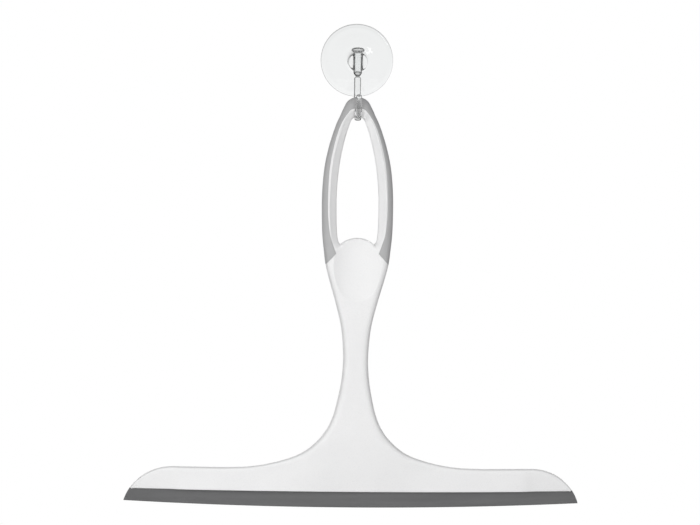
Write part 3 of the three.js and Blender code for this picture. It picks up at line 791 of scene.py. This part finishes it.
def cut_grip_ends(obj, extra):
    """Takes away what lies beyond the grip's slanted ends."""
    corner = np.array(GRIP_END_CORNER)
    along = np.array(GRIP_END_OUTER) - corner
    along = along / np.linalg.norm(along)
    away = np.array([along[1], -along[0]])
    corners = [(GRIP_CUTTER_START, extra), (GRIP_CUTTER_END, extra),
               (GRIP_CUTTER_END, GRIP_CUTTER_DOWN), (GRIP_CUTTER_START, GRIP_CUTTER_DOWN)]
    for side in (1, -1):
        rings = []
        for behind in (-GRIP_CUTTER_HALF_DEPTH, GRIP_CUTTER_HALF_DEPTH):
            ring = []
            for forward, down in corners:
                x, z = corner + along * forward + away * down
                ring.append((side * x, BOW_APEX_Y + behind, z))
            rings.append(ring)
        boolean(obj, loft_object("end_cutter", rings), "DIFFERENCE")


def make_grip_space():
    space = loop_loft("grip_space", grip_space_section)
    cut_grip_ends(space, GRIP_GAP)
    return space


def make_grip():
    grip = loop_loft("grip_overmould", grip_section)
    cut_grip_ends(grip, 0)
    smooth(grip, SHARP_ANGLE)
    return grip


# ----------------------------------------------------------------------------------------------------
# Blade
# ----------------------------------------------------------------------------------------------------


def sweep_object(name, section_of):
    """Skin along the blade over sections of [behind, z] points."""
    rings = []
    for x in np.linspace(-BLADE_HALF_LENGTH, BLADE_HALF_LENGTH, BLADE_STATIONS):
        rings.append([(x, mid_depth(x, z) + behind, z) for behind, z in section_of(x)])
    return loft_object(name, rings)


def bead_section(radius, web, bottom):
    """A round bead over a straight web that ends in the bottom points."""
    opening = math.asin(web / radius)
    points = []
    steps = 24
    for i in range(steps + 1):
        angle = opening + (2 * math.pi - 2 * opening) * i / steps
        points.append((-radius * math.sin(angle), BEAD_Z - radius * math.cos(angle)))
    return points + bottom


def channel_section(x):
    """Space for the bead and the web, open downwards; the same at every x."""
    half = WEB_HALF_DEPTH + CHANNEL_GAP
    bottom = MOUTH_Z - CHANNEL_BELOW_MOUTH
    return bead_section(BEAD_RADIUS + CHANNEL_GAP, half, [(half, bottom), (-half, bottom)])


def blade_section(x):
    """Bead, web and lip at x; the lip's edge rises a little towards the ends."""
    edge = EDGE_Z + EDGE_RISE * (x / BLADE_HALF_LENGTH) ** 2
    shoulder = MOUTH_Z - BLADE_SHOULDER_REACH
    side = [
        (WEB_HALF_DEPTH, MOUTH_Z + BLADE_SHOULDER_REACH),
        (WEB_HALF_DEPTH, shoulder),
        (WEB_HALF_DEPTH - 0.12, shoulder - 0.35),
        (lerp(WEB_HALF_DEPTH, LIP_HALF_DEPTH, 0.5), lerp(shoulder, edge, 0.45)),
        (LIP_HALF_DEPTH + 0.06, edge + 1.1),
        (LIP_HALF_DEPTH, edge + 0.5),
        (LIP_HALF_DEPTH - 0.08, edge + 0.22),
        (LIP_HALF_DEPTH - 0.3, edge),
    ]
    other = [(-behind, z) for behind, z in reversed(side)]
    return bead_section(BEAD_RADIUS, WEB_HALF_DEPTH, side + other)


def make_blade():
    """The strip cut to its outline: its lip follows the head's round ends, its bead ends inside them."""
    blade = sweep_object("blade_strip", blade_section)
    centre_z = HEAD_TOP_Z - END_RADIUS
    mouth_angle = math.asin((MOUTH_Z - centre_z) / END_RADIUS)

    def on_end(radius, angles):
        return [(END_CENTRE_X + radius * math.cos(a), centre_z + radius * math.sin(a)) for a in angles]

    right = on_end(END_RADIUS, np.linspace(0, mouth_angle, 40))
    right += on_end(END_RADIUS - BEAD_END_INSET, np.linspace(mouth_angle, math.pi / 2, 30))
    outline = right + [(-x, z) for x, z in reversed(right)]
    rings = [[(x, y, z) for x, z in outline] for y in BLADE_CUTTER_Y]
    boolean(blade, loft_object("blade_outline", rings), "INTERSECT")
    bevel = blade.modifiers.new("bevel", "BEVEL")
    bevel.width = BLADE_EDGE_BEVEL * MM
    bevel.segments = 2
    bevel.limit_method = "ANGLE"
    bevel.angle_limit = math.radians(40)
    apply_modifier(blade, bevel)
    smooth(blade, SHARP_ANGLE)
    return blade


# ----------------------------------------------------------------------------------------------------
# Suction cup and hook
# ----------------------------------------------------------------------------------------------------


def make_cup():
    """The cup with its drilled knob, which sags a little under the load."""
    knob = [(0, KNOB_FRONT_Y)]
    for angle in np.radians(np.linspace(-90, 0, 8)):
        knob.append((KNOB_RADIUS - KNOB_EDGE_ROUND + KNOB_EDGE_ROUND * math.cos(angle),
                     KNOB_FRONT_Y + KNOB_EDGE_ROUND + KNOB_EDGE_ROUND * math.sin(angle)))
    sides = [(KNOB_RADIUS, y) for y in np.linspace(*KNOB_SIDE_Y, 13)]
    dome = smooth_curve(DOME_POINTS, 6)
    rim = smooth_curve(RIM_POINTS, 5)[1:]
    hollow = smooth_curve(HOLLOW_POINTS, 6)
    profile = knob + sides + [tuple(p) for p in np.vstack([dome, rim, hollow])]

    def sagged(a, b, h):
        return a, h, b - KNOB_SAG * float(smoothstep(-h, -SAG_BETWEEN_Y[0], -SAG_BETWEEN_Y[1]))

    cup = lathe_object("cup_moulding", profile, 128, sagged)
    hole_profile = [(0, -PIN_HOLE_HALF_LENGTH), (PIN_HOLE_RADIUS, -PIN_HOLE_HALF_LENGTH),
                    (PIN_HOLE_RADIUS, PIN_HOLE_HALF_LENGTH), (0, PIN_HOLE_HALF_LENGTH)]
    hole = lathe_object("pin_hole", hole_profile, 64, lambda a, b, h: (a, PIN_Y + b, h - KNOB_SAG))
    boolean(cup, hole, "DIFFERENCE")
    gate_profile = [(0, 0), (GATE_RADIUS, GATE_CROWN), (GATE_RADIUS, GATE_LENGTH), (0, GATE_LENGTH)]
    gate = lathe_object("gate_mark", gate_profile, 24,
                        lambda a, b, h: (GATE_X + a, GATE_FRONT_Y + h, GATE_Z + b))
    boolean(cup, gate, "UNION")
    smooth(cup, CLEAR_SHARP_ANGLE)
    return cup


def rod_stations():
    """Along the rod from the stem's top: y, z, turn of the section, half width, half thickness."""
    stations = []
    bend_y = PIN_Y - BEND_RADIUS
    for z in STEM_Z:
        stations.append((PIN_Y, z, 0.0, STEM_RADIUS, STEM_RADIUS))
    bend_steps = 32
    for i in range(bend_steps + 1):
        angle = (math.pi - ARM_LEAN) * i / bend_steps
        thickness = lerp(STEM_RADIUS, ROD_HALF_THICKNESS, min(1, 2 * i / bend_steps))
        y = bend_y + BEND_RADIUS * math.cos(angle)
        z = BEND_CENTRE_Z - BEND_RADIUS * math.sin(angle)
        stations.append((y, z, angle, STEM_RADIUS, thickness))
    end_y, end_z, end_angle = stations[-1][:3]

    def on_arm(along, width, thickness):
        stations.append((end_y - along * math.sin(ARM_LEAN), end_z + along * math.cos(ARM_LEAN), end_angle,
                         width, thickness))

    for share in np.linspace(0.1, 1, 10):
        on_arm(ARM_LENGTH * share, lerp(STEM_RADIUS, NECK_RADIUS, share ** 3),
               lerp(ROD_HALF_THICKNESS, NECK_RADIUS, share))
    ball_middle = ARM_LENGTH + TIP_BEYOND_ARM
    for turn in np.radians(range(-36, 85, 10)):
        radius = TIP_RADIUS * math.cos(turn)
        on_arm(ball_middle + TIP_RADIUS * math.sin(turn), radius, radius)
    return stations


def make_hook():
    """The rod with its pin, joined into one moulding."""
    rings = []
    sides = 40
    for y, z, angle, width, thickness in rod_stations():
        ring = []
        for i in range(sides):
            turn = 2 * math.pi * i / sides
            out = thickness * math.sin(turn)
            ring.append((width * math.cos(turn), y + out * math.cos(angle), z - out * math.sin(angle)))
        rings.append(ring)
    rod = loft_object("hook_moulding", rings)
    last = math.pi - math.asin(PIN_RADIUS / PIN_HEAD_RADIUS)
    head = [(PIN_HEAD_RADIUS * math.sin(a), PIN_HEAD_Z + PIN_HEAD_HALF_HEIGHT * math.cos(a))
            for a in np.linspace(0, last, 24)]
    tail = [tuple(p) for p in smooth_curve(PIN_TAIL_POINTS, 5)]
    foot = [(PIN_TAIL_POINTS[-1][0], PIN_FOOT_Z), (0, PIN_FOOT_Z)]
    pin = lathe_object("pin", head + tail + foot, 64, lambda a, b, h: (a, PIN_Y + b, h))
    boolean(rod, pin, "UNION")
    smooth(rod, CLEAR_SHARP_ANGLE)
    return rod


# ----------------------------------------------------------------------------------------------------
# Materials
# ----------------------------------------------------------------------------------------------------


class Nodes:
    """Short way to add and link the nodes of one material."""

    def __init__(self, material):
        material.use_nodes = True
        self.tree = material.node_tree
        self.shader = next(n for n in self.tree.nodes if n.type == "BSDF_PRINCIPLED")

    def add(self, kind, inputs):
        node = self.tree.nodes.new(kind)
        for key, value in inputs.items():
            self.feed(node.inputs[key], value)
        return node

    def feed(self, socket, value):
        if isinstance(value, bpy.types.NodeSocket):
            self.tree.links.new(value, socket)
        elif isinstance(value, bpy.types.Node):
            self.tree.links.new(value.outputs[0], socket)
        else:
            socket.default_value = value

    def set(self, **inputs):
        for key, value in inputs.items():
            self.feed(self.shader.inputs[key.replace("_", " ")], value)

    def object_coordinates(self, scale):
        source = self.add("ShaderNodeTexCoord", {}).outputs["Object"]
        return self.add("ShaderNodeMapping", {"Vector": source, "Scale": scale})

    def noise(self, scale, detail, stretch=(1, 1, 1)):
        place = self.object_coordinates(stretch)
        node = self.add("ShaderNodeTexNoise", {"Vector": place, "Scale": scale, "Detail": detail})
        return node.outputs["Fac"]

    def ramp(self, factor, stops):
        """Colour between two stops."""
        node = self.add("ShaderNodeValToRGB", {"Fac": factor})
        for element, (position, colour) in zip(node.color_ramp.elements, stops):
            element.position = position
            element.color = (*colour, 1)
        return node.outputs["Color"]

    def spread(self, factor, low, high):
        node = self.add("ShaderNodeMapRange", {"Value": factor, "To Min": low, "To Max": high})
        return node.outputs["Result"]

    def bump(self, height, strength, distance, under=None):
        inputs = {"Height": height, "Strength": strength, "Distance": distance}
        if under is not None:
            inputs["Normal"] = under
        return self.add("ShaderNodeBump", inputs).outputs["Normal"]


def material(name):
    return bpy.data.materials.new(name)


def white_plastic():
    m = material("white_plastic")
    n = Nodes(m)
    clouds = n.noise(45, 3)
    grain = n.noise(2600, 2)
    waves = n.noise(90, 2)
    n.set(Base_Color=n.ramp(clouds, [(0.3, (0.857, 0.857, 0.86)), (0.7, (0.883, 0.883, 0.885))]),
          Roughness=n.spread(grain, 0.24, 0.32),
          Normal=n.bump(grain, 0.12, 0.00003, n.bump(waves, 0.15, 0.0001)),
          IOR=1.49)
    return m


def grey_elastomer():
    m = material("grey_elastomer")
    n = Nodes(m)
    grain = n.noise(3200, 2)
    clouds = n.noise(70, 3)
    n.set(Base_Color=n.ramp(clouds, [(0.3, (0.45, 0.451, 0.454)), (0.7, (0.48, 0.481, 0.484))]),
          Roughness=n.spread(grain, 0.58, 0.72),
          Normal=n.bump(grain, 0.25, 0.00004),
          IOR=1.48)
    n.shader.inputs["Sheen Weight"].default_value = 0.15
    n.shader.inputs["Sheen Roughness"].default_value = 0.5
    return m


def dark_rubber():
    m = material("dark_rubber")
    n = Nodes(m)
    streaks = n.noise(260, 3, stretch=(0.06, 1, 1))
    grain = n.noise(2800, 2)
    n.set(Base_Color=n.ramp(streaks, [(0.3, (0.135, 0.136, 0.138)), (0.7, (0.157, 0.158, 0.16))]),
          Roughness=n.spread(grain, 0.42, 0.56),
          Normal=n.bump(streaks, 0.1, 0.00006, n.bump(grain, 0.12, 0.00003)),
          IOR=1.5)
    return m


def clear_plastic(name, ior, roughness, tint):
    m = material(name)
    n = Nodes(m)
    waves = n.noise(160, 2)
    smears = n.noise(420, 2)
    n.set(Base_Color=(*tint, 1),
          Roughness=n.spread(smears, roughness * 0.6, roughness * 1.4),
          Normal=n.bump(waves, 0.12, 0.00012),
          IOR=ior)
    n.shader.inputs["Transmission Weight"].default_value = 1.0
    return m


# ----------------------------------------------------------------------------------------------------
# Camera, light and floor
# ----------------------------------------------------------------------------------------------------

CAMERA_DISTANCE = 1.5
CAMERA_AZIMUTH = math.radians(-2.8)
CAMERA_ELEVATION = math.radians(3.0)
CAMERA_ROLL = math.radians(0.8)
CAMERA_AIM = Vector((-3.0, -16, -109.5)) * MM
CAMERA_LENS = 142.6

# Brightness of the studio from behind the camera (0) past the sides (0.5) to the white backdrop (1).
WORLD_STOPS = [(0, 0.33), (0.15, 0.33), (0.38, 0.22), (0.5, 0.08), (0.6, 0.05), (0.8, 0.1), (0.93, 1)]
WORLD_LOW = 0.35
WORLD_LOW_BLEND = (-0.8, 0.1)

# Soft lights: name, place, size, power, and whether the part's gloss shows them.
LIGHTS = [
    ("key", (-0.15, -1.9, 0.35), (1.4, 1.2), 25, False),
    ("left", (-1.5, -0.7, 0.2), (0.8, 0.9), 5, False),
    ("right", (0.67, -1.65, 0.5), (0.3, 0.3), 1, True),
]
LIGHT_AIM = Vector((0, -0.02, -0.11))

FLOOR_Z = -0.32
FLOOR_HALF_WIDTH = 0.6
FLOOR_FRONT_Y = -0.5
FLOOR_BACK_Y = 0.22


def add_camera():
    forward = Vector((-math.sin(CAMERA_AZIMUTH) * math.cos(CAMERA_ELEVATION),
                      math.cos(CAMERA_AZIMUTH) * math.cos(CAMERA_ELEVATION),
                      -math.sin(CAMERA_ELEVATION)))
    right = forward.cross(Vector((0, 0, 1))).normalized()
    up = right.cross(forward)
    turned_right = right * math.cos(CAMERA_ROLL) + up * math.sin(CAMERA_ROLL)
    turned_up = up * math.cos(CAMERA_ROLL) - right * math.sin(CAMERA_ROLL)
    place = CAMERA_AIM - forward * CAMERA_DISTANCE
    data = bpy.data.cameras.new("camera")
    data.lens = CAMERA_LENS
    data.sensor_width = 36
    camera = bpy.data.objects.new("camera", data)
    camera.matrix_world = Matrix((
        (turned_right.x, turned_up.x, -forward.x, place.x),
        (turned_right.y, turned_up.y, -forward.y, place.y),
        (turned_right.z, turned_up.z, -forward.z, place.z),
        (0, 0, 0, 1)))
    bpy.context.collection.objects.link(camera)
    bpy.context.scene.camera = camera


def add_light(name, place, size, power, reflected):
    data = bpy.data.lights.new(name, "AREA")
    data.shape = "RECTANGLE"
    data.size, data.size_y = size
    data.energy = power
    light = bpy.data.objects.new(name, data)
    light.visible_glossy = reflected
    light.visible_transmission = False
    light.location = place
    light.rotation_euler = (LIGHT_AIM - Vector(place)).to_track_quat("-Z", "Y").to_euler()
    bpy.context.collection.objects.link(light)


def add_world():
    """Studio that gloss and clear plastic show: white behind the part, dark beside it, grey in front."""
    world = bpy.data.worlds.new("studio")
    bpy.context.scene.world = world
    world.use_nodes = True
    tree = world.node_tree
    background = tree.nodes["Background"]
    path = tree.nodes.new("ShaderNodeLightPath")
    coordinates = tree.nodes.new("ShaderNodeTexCoord")
    split = tree.nodes.new("ShaderNodeSeparateXYZ")
    tree.links.new(coordinates.outputs["Generated"], split.inputs[0])

    toward_back = tree.nodes.new("ShaderNodeMapRange")
    toward_back.inputs["From Min"].default_value = -1
    tree.links.new(split.outputs["Y"], toward_back.inputs["Value"])
    ramp = tree.nodes.new("ShaderNodeValToRGB")
    elements = ramp.color_ramp.elements
    while len(elements) < len(WORLD_STOPS):
        elements.new(0.5)
    for element, (position, value) in zip(elements, WORLD_STOPS):
        element.position = position
        element.color = (value, value, value, 1)
    tree.links.new(toward_back.outputs["Result"], ramp.inputs["Fac"])
    low_to_high = tree.nodes.new("ShaderNodeMapRange")
    low_to_high.inputs["From Min"].default_value = WORLD_LOW_BLEND[0]
    low_to_high.inputs["From Max"].default_value = WORLD_LOW_BLEND[1]
    low_to_high.inputs["To Min"].default_value = WORLD_LOW
    tree.links.new(split.outputs["Z"], low_to_high.inputs["Value"])
    product = tree.nodes.new("ShaderNodeMath")
    product.operation = "MULTIPLY"
    tree.links.new(ramp.outputs["Color"], product.inputs[0])
    tree.links.new(low_to_high.outputs["Result"], product.inputs[1])

    # The camera itself sees plain white.
    seen = tree.nodes.new("ShaderNodeMix")
    seen.data_type = "FLOAT"
    tree.links.new(path.outputs["Is Camera Ray"], seen.inputs["Factor"])
    tree.links.new(product.outputs[0], seen.inputs["A"])
    seen.inputs["B"].default_value = 1.0
    tree.links.new(seen.outputs["Result"], background.inputs["Strength"])
    background.inputs["Color"].default_value = (1, 1, 1, 1)


def add_floor():
    corners = [(-FLOOR_HALF_WIDTH, FLOOR_FRONT_Y), (FLOOR_HALF_WIDTH, FLOOR_FRONT_Y),
               (FLOOR_HALF_WIDTH, FLOOR_BACK_Y), (-FLOOR_HALF_WIDTH, FLOOR_BACK_Y)]
    mesh = bpy.data.meshes.new("studio_floor")
    mesh.from_pydata([(x, y, FLOOR_Z) for x, y in corners], [], [(0, 1, 2, 3)])
    floor = bpy.data.objects.new("studio_floor", mesh)
    bpy.context.collection.objects.link(floor)
    m = material("floor")
    Nodes(m).set(Base_Color=(0.9, 0.9, 0.9, 1), Roughness=0.8)
    floor.data.materials.append(m)


# ----------------------------------------------------------------------------------------------------
# Put together
# ----------------------------------------------------------------------------------------------------


def fit(piece, finish, body, node):
    """Puts a finished piece in the place of a CAD node."""
    piece.data.materials.clear()
    piece.data.materials.append(finish)
    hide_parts(node)
    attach(piece, body)


fit(make_body(), white_plastic(), "squeegee", "squeegee_body")
fit(make_grip(), grey_elastomer(), "squeegee", "grip")
fit(make_blade(), dark_rubber(), "squeegee", "blade")
soft_pvc = clear_plastic("clear_soft_pvc", 1.52, 0.03, (0.97, 0.98, 0.98))
fit(make_cup(), soft_pvc, "suction_cup", "suction_cup")
hard_plastic = clear_plastic("clear_hard_plastic", 1.58, 0.01, (0.98, 0.985, 0.985))
fit(make_hook(), hard_plastic, "hook", "hook")

add_floor()
add_camera()
add_world()
for light in LIGHTS:
    add_light(*light)

scene = bpy.context.scene
scene.view_settings.view_transform = "Standard"
scene.view_settings.look = "None"
scene.view_settings.exposure = 0
scene.view_settings.gamma = 1
